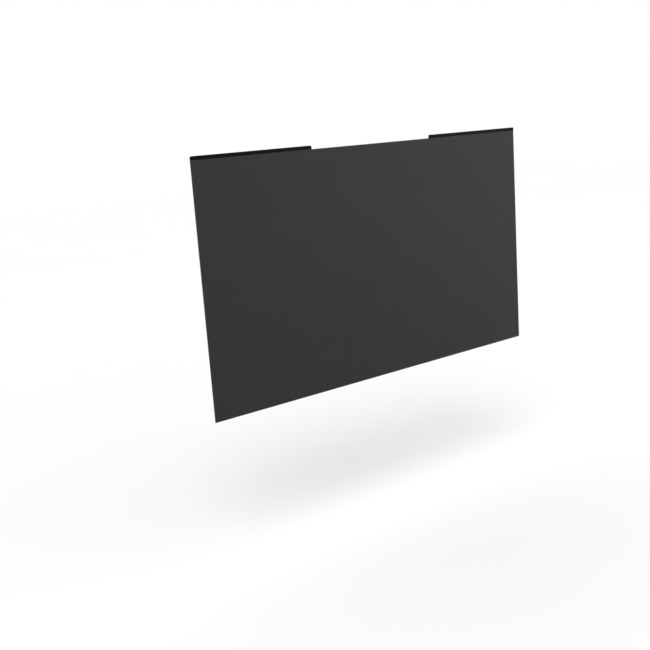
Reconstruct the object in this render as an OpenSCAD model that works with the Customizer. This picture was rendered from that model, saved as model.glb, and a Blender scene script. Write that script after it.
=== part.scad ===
// Hang-on privacy filter: one stiff sheet of louvre film, held by a magnet strip at each end of its top edge.
// X runs along the width, +Y points away from the viewer, +Z points up.
// The origin is the centre of the whole part.

/* [Sheet] */
// Width of the sheet
sheet_w = 532; // [360:1:720]
// Height of the sheet below the tabs, the clear viewing height
sheet_h = 300; // [180:1:450]
// Thickness of the laminated sheet
sheet_t = 0.8; // [0.4:0.05:2]
// Radius of the two lower corners
foot_r = 0.5; // [0.2:0.1:6]

/* [Tabs] */
// Width of each tab, flush with the side of the sheet
tab_w = 168; // [60:1:250]
// Height of a tab above the top edge of the sheet
tab_h = 4.4; // [3.2:0.1:12]
// Radius of the two upper corners of a tab
tab_r = 2; // [0.8:0.1:3]
// Radius of the fillet where a tab leaves the top edge
root_r = 0.6; // [0.2:0.1:1.1]

/* [Strips] */
// Thickness of the gloss facing on the front of a tab
facing_t = 0.3; // [0.1:0.05:0.6]
// Thickness of the double-sided tape behind a tab
tape_t = 0.1; // [0.05:0.05:0.4]
// Thickness of the magnet strip
magnet_t = 0.8; // [0.5:0.1:2]
// Height of the magnet strip
magnet_h = 3.8; // [1.8:0.1:5]
// Distance from the top of a tab down to its magnet strip
magnet_drop = 0.3; // [0.1:0.1:0.6]
// Distance from each end of a tab in to its magnet strip
magnet_inset = 1.2; // [0.3:0.1:10]
// Radius of the upper corners of the magnet strip
magnet_r = 1; // [0.3:0.1:1.6]

/* [Hidden] */
$fn = 64;
LEFT = -1;
RIGHT = 1;

// Layers from the front to the back, each face to face with the next
front_y = -(facing_t + sheet_t + tape_t + magnet_t) / 2;
sheet_y = front_y + facing_t;
tape_y = sheet_y + sheet_t;
magnet_y = tape_y + tape_t;

// Levels from the bottom to the top
bottom_z = -(sheet_h + tab_h) / 2;
edge_z = bottom_z + sheet_h;
tab_top_z = edge_z + tab_h;
magnet_z = tab_top_z - magnet_drop - magnet_h;

// Distance from the centre of the sheet to the middle of a tab
tab_x = (sheet_w - tab_w) / 2;

// Plate of thickness t whose front face lies at y, cut to the X-Z outline it is given
module plate(y, t) {
    translate([0, y + t, 0])
        rotate([90, 0, 0])
            linear_extrude(t) children();
}

// Outline of a bar that stands on z = 0, with its two upper corners rounded to r
module bar_outline(w, h, r) {
    translate([-w / 2, 0]) square([w, h - r]);
    translate([r - w / 2, 0]) square([w - 2 * r, h]);
    for (side = [LEFT, RIGHT])
        translate([side * (w / 2 - r), h - r]) circle(r);
}

// Outline that fills a square inner corner at the origin to radius r, open towards +X and +Z
module fillet_outline(r) {
    difference() {
        square(r);
        translate([r, r]) circle(r);
    }
}

// Outline of the rectangle below the tabs, with its two lower corners rounded
module panel_outline() {
    translate([0, edge_z])
        rotate(180) bar_outline(sheet_w, sheet_h, foot_r);
}

// Outline of the tab at one end of the top edge, with the fillet at its inner root
module tab_outline(side) {
    translate([side * tab_x, edge_z]) bar_outline(tab_w, tab_h, tab_r);
    translate([side * (tab_x - tab_w / 2), edge_z])
        mirror([side == RIGHT ? 1 : 0, 0]) fillet_outline(root_r);
}

// Louvre sheet, cut in one piece with both tabs
module filter_sheet() {
    color([0.2, 0.2, 0.21])
        plate(sheet_y, sheet_t) {
            panel_outline();
            tab_outline(LEFT);
            tab_outline(RIGHT);
        }
}

// Gloss facing over the front of one tab, cut flush with it
module facing(side) {
    color([0.07, 0.07, 0.075])
        plate(front_y, facing_t)
            translate([side * tab_x, edge_z]) bar_outline(tab_w, tab_h, tab_r);
}

// Outline that a magnet strip shares with the tape under it
module magnet_outline(side) {
    translate([side * tab_x, magnet_z])
        bar_outline(tab_w - 2 * magnet_inset, magnet_h, magnet_r);
}

// Double-sided tape between one tab and its magnet strip
module tape(side) {
    color([0.75, 0.75, 0.72])
        plate(tape_y, tape_t) magnet_outline(side);
}

// Flexible magnet strip behind one tab
module magnet(side) {
    color([0.13, 0.12, 0.11])
        plate(magnet_y, magnet_t) magnet_outline(side);
}

filter_sheet();
facing(LEFT);  // left_facing
facing(RIGHT);  // right_facing
tape(LEFT);  // left_tape
tape(RIGHT);  // right_tape
magnet(LEFT);  // left_magnet
magnet(RIGHT);  // right_magnet
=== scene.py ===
"""Dresses the privacy filter: the louvres inside its sheet, its finishes, and the studio it hangs in."""

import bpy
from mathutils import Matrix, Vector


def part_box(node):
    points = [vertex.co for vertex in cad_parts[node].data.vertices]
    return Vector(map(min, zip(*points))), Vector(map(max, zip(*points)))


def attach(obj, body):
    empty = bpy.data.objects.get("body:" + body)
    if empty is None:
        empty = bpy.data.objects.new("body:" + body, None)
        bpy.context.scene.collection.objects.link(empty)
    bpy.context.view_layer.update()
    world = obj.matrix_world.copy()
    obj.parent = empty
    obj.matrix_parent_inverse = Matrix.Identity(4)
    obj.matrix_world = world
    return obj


bl_info = {
    "name": "Privacy Filter",
    "version": (1, 0, 0),
    "blender": (4, 5, 0),
    "location": "3D View > Sidebar > Filter",
    "description": "Builds the louvres, finishes and studio of a hang-on privacy filter",
    "category": "Object",
}

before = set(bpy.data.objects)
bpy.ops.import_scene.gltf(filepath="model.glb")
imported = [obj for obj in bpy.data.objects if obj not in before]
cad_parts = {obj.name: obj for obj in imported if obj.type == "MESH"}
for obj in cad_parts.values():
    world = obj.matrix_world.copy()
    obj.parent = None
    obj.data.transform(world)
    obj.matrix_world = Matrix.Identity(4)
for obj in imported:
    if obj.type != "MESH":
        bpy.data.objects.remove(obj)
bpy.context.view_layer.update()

import math

import bpy
from bpy.props import FloatProperty, FloatVectorProperty, PointerProperty
from mathutils import Quaternion, Vector

MM = 0.001
BODY = "root"
SHEET_LOW, SHEET_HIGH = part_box("filter_sheet")
SHEET_MIDDLE = (SHEET_LOW.y + SHEET_HIGH.y) / 2
TAB_LOW, TAB_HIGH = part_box("right_facing")
FACINGS = ("left_facing", "right_facing")
TAPES = ("left_tape", "right_tape")
MAGNETS = ("left_magnet", "right_magnet")
EVEN = (1.0, 1.0, 1.0)
WHITE = (1.0, 1.0, 1.0, 1.0)

# How steeply the reflection of a clear skin grows towards grazing sight
GRAZING_POWER = 5.0

# Share by which the surround is brighter overhead than level with the part, too little to see.
# Only a surround that varies is sampled as a lamp is, which makes short renders smoother.
SURROUND_FADE = 0.0005

# Where the lights hang, how wide the key light spreads and how large the side light is
KEY_PLACE = (-0.55, -0.6, 1.0)
KEY_SPREAD = math.radians(35)
SIDE_PLACE = (2.0, -1.5, 0.25)
SIDE_SIZE = 2.1

# Which way a camera looks before it is turned, and how near to it things still show
CAMERA_SIGHT = Vector((0, 0, -1))
NEAR_CLIP = 0.01


# Settings that a user would change

class LouvreSettings(bpy.types.PropertyGroup):
    """Sizes and colour of the louvres inside the sheet"""

    pitch: FloatProperty(
        name="Pitch", description="Distance from one louvre to the next",
        default=0.43 * MM, min=0.1 * MM, max=5 * MM, unit="LENGTH")
    thickness: FloatProperty(
        name="Thickness", description="Thickness of one louvre",
        default=0.06 * MM, min=0.01 * MM, max=1 * MM, unit="LENGTH")
    skin: FloatProperty(
        name="Skin", description="Clear material between the louvres and each face of the sheet",
        default=0.05 * MM, min=0.01 * MM, max=0.3 * MM, unit="LENGTH")
    corner: FloatProperty(
        name="Corner", description="Radius of the upper corners of the tabs",
        default=2 * MM, min=0.2 * MM, max=4 * MM, unit="LENGTH")
    colour: FloatVectorProperty(
        name="Colour", description="Colour of the louvres",
        default=(0.004, 0.004, 0.0043), min=0, max=1, subtype="COLOR")


class SheetSettings(bpy.types.PropertyGroup):
    """Optics of the clear skins of the sheet"""

    tint: FloatVectorProperty(
        name="Tint", description="Share of the light that each face lets through",
        default=(0.58, 0.58, 0.583), min=0, max=1, subtype="COLOR")
    index: FloatProperty(
        name="Index", description="Refractive index of the hard coat",
        default=1.45, min=1.3, max=1.8)
    front_roughness: FloatProperty(
        name="Front Roughness", description="Roughness of the anti-glare front",
        default=0.42, min=0, max=1, subtype="FACTOR")
    back_roughness: FloatProperty(
        name="Back Roughness", description="Roughness of the smooth back",
        default=0.1, min=0, max=1, subtype="FACTOR")


class StripSettings(bpy.types.PropertyGroup):
    """Colours of the strips on the tabs"""

    facing: FloatVectorProperty(
        name="Facing", description="Colour of the gloss facings",
        default=(0.0015, 0.0015, 0.0016), min=0, max=1, subtype="COLOR")
    magnet: FloatVectorProperty(
        name="Magnet", description="Colour of the magnet strips",
        default=(0.035, 0.031, 0.028), min=0, max=1, subtype="COLOR")
    tape: FloatVectorProperty(
        name="Tape", description="Colour of the double-sided tape",
        default=(0.6, 0.6, 0.56), min=0, max=1, subtype="COLOR")


class StudioSettings(bpy.types.PropertyGroup):
    """Floor, light and camera of the studio"""

    floor_level: FloatProperty(
        name="Floor Level", description="Height of the floor, measured from the middle of the part",
        default=-0.335, min=-2, max=-0.16, unit="LENGTH")
    floor_size: FloatProperty(
        name="Floor Size", description="Side of the square floor",
        default=12, min=2, max=50, unit="LENGTH")
    floor_colour: FloatVectorProperty(
        name="Floor Colour", description="Colour of the floor",
        default=(0.8, 0.8, 0.8), min=0, max=1, subtype="COLOR")
    surround: FloatProperty(
        name="Surround", description="Brightness of the white surround",
        default=1.0, min=0, max=5)
    key: FloatProperty(
        name="Key", description="Strength of the broad upper left light, in watts per square metre",
        default=1.0, min=0, max=10)
    side_power: FloatProperty(
        name="Side Power", description="Power of the wide soft light on the right",
        default=9.2, min=0, max=500, unit="POWER")
    camera_place: FloatVectorProperty(
        name="Camera", description="Where the camera stands",
        default=(-0.81172, -0.92406, 0.17944), subtype="TRANSLATION")
    camera_aim: FloatVectorProperty(
        name="Aim", description="Point in the middle of the picture",
        default=(-0.09654, -0.0007, -0.06773), subtype="TRANSLATION")
    camera_roll: FloatProperty(
        name="Roll", description="Turn of the camera about its own line of sight",
        default=math.radians(4.09), subtype="ANGLE")
    lens: FloatProperty(
        name="Lens", description="Focal length in millimetres, for a 36 mm sensor",
        default=53.24, min=10, max=300)


# Node trees in general

def feed(tree, socket, value):
    """Links a socket to another, or gives it a plain value."""
    if isinstance(value, bpy.types.NodeSocket):
        tree.links.new(value, socket)
    else:
        socket.default_value = value


def add(tree, kind, **inputs):
    """Adds a node and feeds its inputs, whose names are written with _ for a space."""
    node = tree.nodes.new(kind)
    for name, value in inputs.items():
        feed(tree, node.inputs[name.replace("_", " ")], value)
    return node


def calculate(tree, operation, *values):
    """Adds a Math node and returns its result."""
    node = tree.nodes.new("ShaderNodeMath")
    node.operation = operation
    for socket, value in zip(node.inputs, values):
        feed(tree, socket, value)
    return node.outputs["Value"]


def switch(tree, choice, off, on):
    """Adds a Mix node on numbers and returns its result."""
    node = tree.nodes.new("ShaderNodeMix")
    for name, value in (("Factor", choice), ("A", off), ("B", on)):
        feed(tree, node.inputs[name], value)
    return node.outputs["Result"]


def new_group(name, kind, inputs, outputs):
    """A node group, its input node and its output node.

    Each input is given as its name, type and default, and each output as its name and type.
    """
    tree = bpy.data.node_groups.new(name, kind)
    for label, socket_type, default in inputs:
        socket = tree.interface.new_socket(label, in_out="INPUT", socket_type=socket_type)
        if default is not None:
            socket.default_value = default
    for label, socket_type in outputs:
        tree.interface.new_socket(label, in_out="OUTPUT", socket_type=socket_type)
    return tree, tree.nodes.new("NodeGroupInput"), tree.nodes.new("NodeGroupOutput")


# Louvres

def corner_drop(tree, size, reach):
    """How far a tab's rounded corners lower its top, at a given reach from the middle of the sheet."""
    corner = size["Corner"]
    half = calculate(tree, "MULTIPLY", size["Width"], 0.5)
    past_outer = calculate(tree, "SUBTRACT", reach, calculate(tree, "SUBTRACT", half, corner))
    inner_start = calculate(tree, "ADD", size["Tab Start"], corner)
    past_inner = calculate(tree, "SUBTRACT", inner_start, reach)
    past = calculate(tree, "MAXIMUM", calculate(tree, "MAXIMUM", past_outer, past_inner), 0.0)
    past = calculate(tree, "MINIMUM", past, corner)
    square = calculate(
        tree, "SUBTRACT", calculate(tree, "POWER", corner, 2.0), calculate(tree, "POWER", past, 2.0))
    return calculate(tree, "SUBTRACT", corner, calculate(tree, "SQRT", square))


def louvre_group():
    """A bank of upright louvres that fills the outline of the sheet and its tabs."""
    number = "NodeSocketFloat"
    tree, given, result = new_group(
        "louvre_bank", "GeometryNodeTree",
        [(label, number, 0.0) for label in (
            "Width", "Bottom", "Edge", "Tab Top", "Tab Start", "Corner",
            "Pitch", "Thickness", "Depth", "Middle")]
        + [("Material", "NodeSocketMaterial", None)],
        [("Geometry", "NodeSocketGeometry")])
    size = given.outputs

    spaces = calculate(tree, "FLOOR", calculate(tree, "DIVIDE", size["Width"], size["Pitch"]))
    count = calculate(tree, "ADD", spaces, 1.0)
    first = calculate(tree, "MULTIPLY", calculate(tree, "MULTIPLY", spaces, size["Pitch"]), -0.5)
    row = add(
        tree, "GeometryNodeMeshLine", Count=count,
        Start_Location=add(tree, "ShaderNodeCombineXYZ", X=first).outputs[0],
        Offset=add(tree, "ShaderNodeCombineXYZ", X=size["Pitch"]).outputs[0])

    place = tree.nodes.new("GeometryNodeInputPosition").outputs["Position"]
    across = add(tree, "ShaderNodeSeparateXYZ", Vector=place).outputs["X"]
    reach = calculate(tree, "ABSOLUTE", across)
    top = switch(
        tree, calculate(tree, "GREATER_THAN", reach, size["Tab Start"]), size["Edge"],
        calculate(tree, "SUBTRACT", size["Tab Top"], corner_drop(tree, size, reach)))
    height = calculate(tree, "SUBTRACT", top, size["Bottom"])
    level = calculate(tree, "MULTIPLY", calculate(tree, "ADD", top, size["Bottom"]), 0.5)

    raised = add(
        tree, "GeometryNodeSetPosition", Geometry=row.outputs["Mesh"],
        Offset=add(tree, "ShaderNodeCombineXYZ", Y=size["Middle"], Z=level).outputs[0])
    bank = add(
        tree, "GeometryNodeInstanceOnPoints", Points=raised.outputs["Geometry"],
        Instance=tree.nodes.new("GeometryNodeMeshCube").outputs["Mesh"],
        Scale=add(
            tree, "ShaderNodeCombineXYZ", X=size["Thickness"], Y=size["Depth"], Z=height).outputs[0])
    solid = add(tree, "GeometryNodeRealizeInstances", Geometry=bank.outputs["Instances"])
    dressed = add(tree, "GeometryNodeSetMaterial", Geometry=solid.outputs["Geometry"],
                  Material=size["Material"])
    feed(tree, result.inputs["Geometry"], dressed.outputs["Geometry"])
    return tree


def grown(name, tree, **inputs):
    """A plain mesh object grown by a node tree from the inputs it is given."""
    seed = bpy.data.objects.new(name + "_seed", bpy.data.meshes.new(name + "_seed"))
    bpy.context.scene.collection.objects.link(seed)
    modifier = seed.modifiers.new("grow", "NODES")
    modifier.node_group = tree
    for socket in tree.interface.items_tree:
        label = socket.name.replace(" ", "_").lower()
        if socket.in_out == "INPUT" and label in inputs:
            modifier[socket.identifier] = inputs[label]
    depsgraph = bpy.context.evaluated_depsgraph_get()
    mesh = bpy.data.meshes.new_from_object(seed.evaluated_get(depsgraph), depsgraph=depsgraph)
    bpy.data.objects.remove(seed)
    piece = bpy.data.objects.new(name, mesh)
    bpy.context.scene.collection.objects.link(piece)
    return piece


# Effects that several materials share

def grain_group():
    """Surface grain as a height, with a slow drift beside it."""
    name = "surface_grain"
    if name in bpy.data.node_groups:
        return bpy.data.node_groups[name]
    tree, given, result = new_group(
        name, "ShaderNodeTree",
        [("Grain Size", "NodeSocketFloat", 1 * MM), ("Drift Size", "NodeSocketFloat", 60 * MM),
         ("Stretch", "NodeSocketVector", EVEN)],
        [("Height", "NodeSocketFloat"), ("Drift", "NodeSocketFloat")])
    place = tree.nodes.new("ShaderNodeTexCoord").outputs["Object"]
    drawn = tree.nodes.new("ShaderNodeVectorMath")
    drawn.operation = "DIVIDE"
    feed(tree, drawn.inputs[0], place)
    feed(tree, drawn.inputs[1], given.outputs["Stretch"])
    grain = add(tree, "ShaderNodeTexNoise", Vector=drawn.outputs[0], Detail=3.0,
                Scale=calculate(tree, "DIVIDE", 1.0, given.outputs["Grain Size"]))
    drift = add(tree, "ShaderNodeTexNoise", Vector=drawn.outputs[0], Detail=2.0,
                Scale=calculate(tree, "DIVIDE", 1.0, given.outputs["Drift Size"]))
    feed(tree, result.inputs["Height"], grain.outputs["Fac"])
    feed(tree, result.inputs["Drift"], drift.outputs["Fac"])
    return tree


def grain(tree, size, drift, stretch=EVEN):
    """Places the surface grain in a material and returns its height and its drift."""
    node = tree.nodes.new("ShaderNodeGroup")
    node.node_tree = grain_group()
    node.inputs["Grain Size"].default_value = size
    node.inputs["Drift Size"].default_value = drift
    node.inputs["Stretch"].default_value = stretch
    return node.outputs["Height"], node.outputs["Drift"]


def about(tree, middle, spread, drift):
    """A number that moves with the drift, by up to half the spread either side of the middle."""
    return calculate(tree, "MULTIPLY_ADD", calculate(tree, "SUBTRACT", drift, 0.5), spread, middle)


def scaled(tree, colour, share):
    """A colour times a number."""
    node = tree.nodes.new("ShaderNodeVectorMath")
    node.operation = "SCALE"
    feed(tree, node.inputs["Vector"], tuple(colour))
    feed(tree, node.inputs["Scale"], share)
    return node.outputs["Vector"]


# Materials

def new_material(name):
    """An empty material, its node tree and its output node."""
    material = bpy.data.materials.new(name)
    material.use_nodes = True
    tree = material.node_tree
    tree.nodes.clear()
    return material, tree, tree.nodes.new("ShaderNodeOutputMaterial")


def opaque(name, colour, roughness, specular, size, drift, relief, stretch=EVEN, spread=0.3):
    """A solid material with grain in its relief, and drift in its colour and roughness."""
    material, tree, output = new_material(name)
    height, wander = grain(tree, size, drift, stretch)
    bump = add(tree, "ShaderNodeBump", Height=height, Distance=relief)
    shader = add(
        tree, "ShaderNodeBsdfPrincipled",
        Base_Color=scaled(tree, colour, about(tree, middle=1.0, spread=spread, drift=wander)),
        Roughness=about(tree, middle=roughness, spread=spread * roughness, drift=wander),
        Specular_IOR_Level=specular,
        Normal=bump.outputs["Normal"])
    feed(tree, output.inputs["Surface"], shader.outputs["BSDF"])
    return material


def mirrored_share(tree, index):
    """The share of light that a clear skin reflects, least head-on and most at grazing sight."""
    facing = add(tree, "ShaderNodeLayerWeight", Blend=0.5).outputs["Facing"]
    head_on = ((index - 1) / (index + 1)) ** 2
    aslant = calculate(tree, "POWER", facing, GRAZING_POWER)
    return calculate(tree, "MULTIPLY_ADD", aslant, 1 - head_on, head_on)


def skin_material(sheet):
    """The clear skins of the sheet: anti-glare in front, smooth behind."""
    material, tree, output = new_material("clear_skin")
    height, wander = grain(tree, size=0.25 * MM, drift=90 * MM)
    place = tree.nodes.new("ShaderNodeTexCoord").outputs["Object"]
    depth = add(tree, "ShaderNodeSeparateXYZ", Vector=place).outputs["Y"]
    behind = calculate(tree, "GREATER_THAN", depth, SHEET_MIDDLE)
    bump = add(
        tree, "ShaderNodeBump", Height=height, Distance=0.0005 * MM,
        Strength=switch(tree, behind, off=1.0, on=0.2))
    roughness = switch(tree, behind, off=sheet.front_roughness, on=sheet.back_roughness)
    clear = add(tree, "ShaderNodeBsdfTransparent", Color=(*sheet.tint, 1.0))
    gloss = add(
        tree, "ShaderNodeBsdfAnisotropic", Color=WHITE,
        Roughness=about(tree, middle=roughness, spread=0.06, drift=wander),
        Normal=bump.outputs["Normal"])
    mixed = tree.nodes.new("ShaderNodeMixShader")
    parts = (mirrored_share(tree, sheet.index), clear.outputs["BSDF"], gloss.outputs["BSDF"])
    for socket, value in zip(mixed.inputs, parts):
        feed(tree, socket, value)
    feed(tree, output.inputs["Surface"], mixed.outputs["Shader"])
    return material


def dress(names, material):
    """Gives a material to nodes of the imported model."""
    for name in names:
        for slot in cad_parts[name].material_slots:
            slot.material = material


# Operators

class FILTER_OT_louvres(bpy.types.Operator):
    """Grow the bank of louvres inside the sheet"""

    bl_idname = "privacy_filter.louvres"
    bl_label = "Louvres"

    def execute(self, context):
        sizes = context.scene.filter_louvres
        piece = grown(
            "louvre_bank", louvre_group(),
            width=SHEET_HIGH.x - SHEET_LOW.x - 2 * sizes.skin - sizes.thickness,
            bottom=SHEET_LOW.z + sizes.skin,
            edge=TAB_LOW.z - sizes.skin,
            tab_top=TAB_HIGH.z - sizes.skin,
            tab_start=TAB_LOW.x + sizes.skin,
            corner=sizes.corner,
            pitch=sizes.pitch,
            thickness=sizes.thickness,
            depth=SHEET_HIGH.y - SHEET_LOW.y - 2 * sizes.skin,
            middle=SHEET_MIDDLE,
            # Louvres lie in clear plastic that bends light as they do, so they don't shine
            material=opaque(
                "louvre_black", sizes.colour, roughness=0.6, specular=0.0,
                size=0.3 * MM, drift=40 * MM, relief=0.002 * MM))
        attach(piece, BODY)
        return {"FINISHED"}


class FILTER_OT_sheet(bpy.types.Operator):
    """Finish the clear skins of the sheet"""

    bl_idname = "privacy_filter.sheet"
    bl_label = "Sheet"

    def execute(self, context):
        dress(["filter_sheet"], skin_material(context.scene.filter_sheet))
        return {"FINISHED"}


class FILTER_OT_facings(bpy.types.Operator):
    """Finish the gloss facings on the tabs"""

    bl_idname = "privacy_filter.facings"
    bl_label = "Facings"

    def execute(self, context):
        colours = context.scene.filter_strips
        dress(FACINGS, opaque(
            "gloss_facing", colours.facing, roughness=0.2, specular=0.065,
            size=1.2 * MM, drift=50 * MM, relief=0.002 * MM))
        return {"FINISHED"}


class FILTER_OT_magnets(bpy.types.Operator):
    """Finish the magnet strips and the tape that holds them"""

    bl_idname = "privacy_filter.magnets"
    bl_label = "Magnets"

    def execute(self, context):
        colours = context.scene.filter_strips
        dress(MAGNETS, opaque(
            "magnet_rubber", colours.magnet, roughness=0.65, specular=0.4,
            size=0.35 * MM, drift=12 * MM, relief=0.03 * MM, stretch=(12.0, 1.0, 1.0)))
        dress(TAPES, opaque(
            "bond_tape", colours.tape, roughness=0.55, specular=0.5,
            size=0.5 * MM, drift=20 * MM, relief=0.01 * MM))
        return {"FINISHED"}


class FILTER_OT_studio(bpy.types.Operator):
    """Lay the floor, hang the light and place the camera"""

    bl_idname = "privacy_filter.studio"
    bl_label = "Studio"

    def execute(self, context):
        studio = context.scene.filter_studio
        lay_floor(studio)
        light_studio(context.scene, studio)
        place_camera(context.scene, studio)
        return {"FINISHED"}


def lay_floor(studio):
    """A plain pale floor."""
    half = studio.floor_size / 2
    mesh = bpy.data.meshes.new("floor")
    corners = [(x * half, y * half, studio.floor_level) for x, y in ((-1, -1), (1, -1), (1, 1), (-1, 1))]
    mesh.from_pydata(corners, [], [(0, 1, 2, 3)])
    floor = bpy.data.objects.new("floor", mesh)
    bpy.context.scene.collection.objects.link(floor)
    mesh.materials.append(opaque(
        "floor_paint", studio.floor_colour, roughness=0.8, specular=0.2,
        size=2 * MM, drift=800 * MM, relief=0.05 * MM, spread=0.02))


def light_studio(scene, studio):
    """A white surround, a broad light from the upper left and a wide soft light on the right."""
    world = bpy.data.worlds.new("surround")
    world.use_nodes = True
    tree = world.node_tree
    ground = tree.nodes["Background"]
    ground.inputs["Color"].default_value = WHITE
    direction = tree.nodes.new("ShaderNodeTexCoord").outputs["Generated"]
    upward = add(tree, "ShaderNodeSeparateXYZ", Vector=direction).outputs["Z"]
    feed(tree, ground.inputs["Strength"], calculate(
        tree, "MULTIPLY_ADD", upward, SURROUND_FADE * studio.surround, studio.surround))
    scene.world = world
    key = hang_light(scene, "key_light", "SUN", studio.key, KEY_PLACE)
    key.angle = KEY_SPREAD
    side = hang_light(scene, "side_light", "AREA", studio.side_power, SIDE_PLACE)
    side.size = SIDE_SIZE
    scene.view_settings.view_transform = "Standard"


def hang_light(scene, name, kind, energy, place):
    """A light that faces the part from its place."""
    lamp = bpy.data.lights.new(name, kind)
    lamp.energy = energy
    light = bpy.data.objects.new(name, lamp)
    light.location = place
    light.rotation_euler = (-light.location).to_track_quat("-Z", "Y").to_euler()
    scene.collection.objects.link(light)
    return lamp


def place_camera(scene, studio):
    """The camera at the viewing angle of the photograph."""
    data = bpy.data.cameras.new("camera")
    data.lens = studio.lens
    data.clip_start = NEAR_CLIP
    camera = bpy.data.objects.new("camera", data)
    place = Vector(studio.camera_place)
    sight = Vector(studio.camera_aim) - place
    roll = Quaternion(CAMERA_SIGHT, studio.camera_roll)
    camera.location = place
    camera.rotation_mode = "QUATERNION"
    camera.rotation_quaternion = sight.to_track_quat("-Z", "Y") @ roll
    scene.collection.objects.link(camera)
    scene.camera = camera


# Sidebar panel

class FILTER_PT_sidebar(bpy.types.Panel):
    """Lists the steps that build the filter"""

    bl_label = "Privacy Filter"
    bl_space_type = "VIEW_3D"
    bl_region_type = "UI"
    bl_category = "Filter"

    def draw(self, context):
        for step in STEPS:
            self.layout.operator(step.bl_idname)


STEPS = (FILTER_OT_louvres, FILTER_OT_sheet, FILTER_OT_facings, FILTER_OT_magnets, FILTER_OT_studio)
SETTINGS = {
    "filter_louvres": LouvreSettings,
    "filter_sheet": SheetSettings,
    "filter_strips": StripSettings,
    "filter_studio": StudioSettings,
}


def register():
    for item in (*SETTINGS.values(), *STEPS, FILTER_PT_sidebar):
        bpy.utils.register_class(item)
    for name, settings in SETTINGS.items():
        setattr(bpy.types.Scene, name, PointerProperty(type=settings))


def unregister():
    for name in SETTINGS:
        delattr(bpy.types.Scene, name)
    for item in (FILTER_PT_sidebar, *reversed(STEPS), *SETTINGS.values()):
        bpy.utils.unregister_class(item)


def main():
    register()
    bpy.ops.privacy_filter.louvres()
    bpy.ops.privacy_filter.sheet()
    bpy.ops.privacy_filter.facings()
    bpy.ops.privacy_filter.magnets()
    bpy.ops.privacy_filter.studio()


if __name__ == "__main__":
    main()
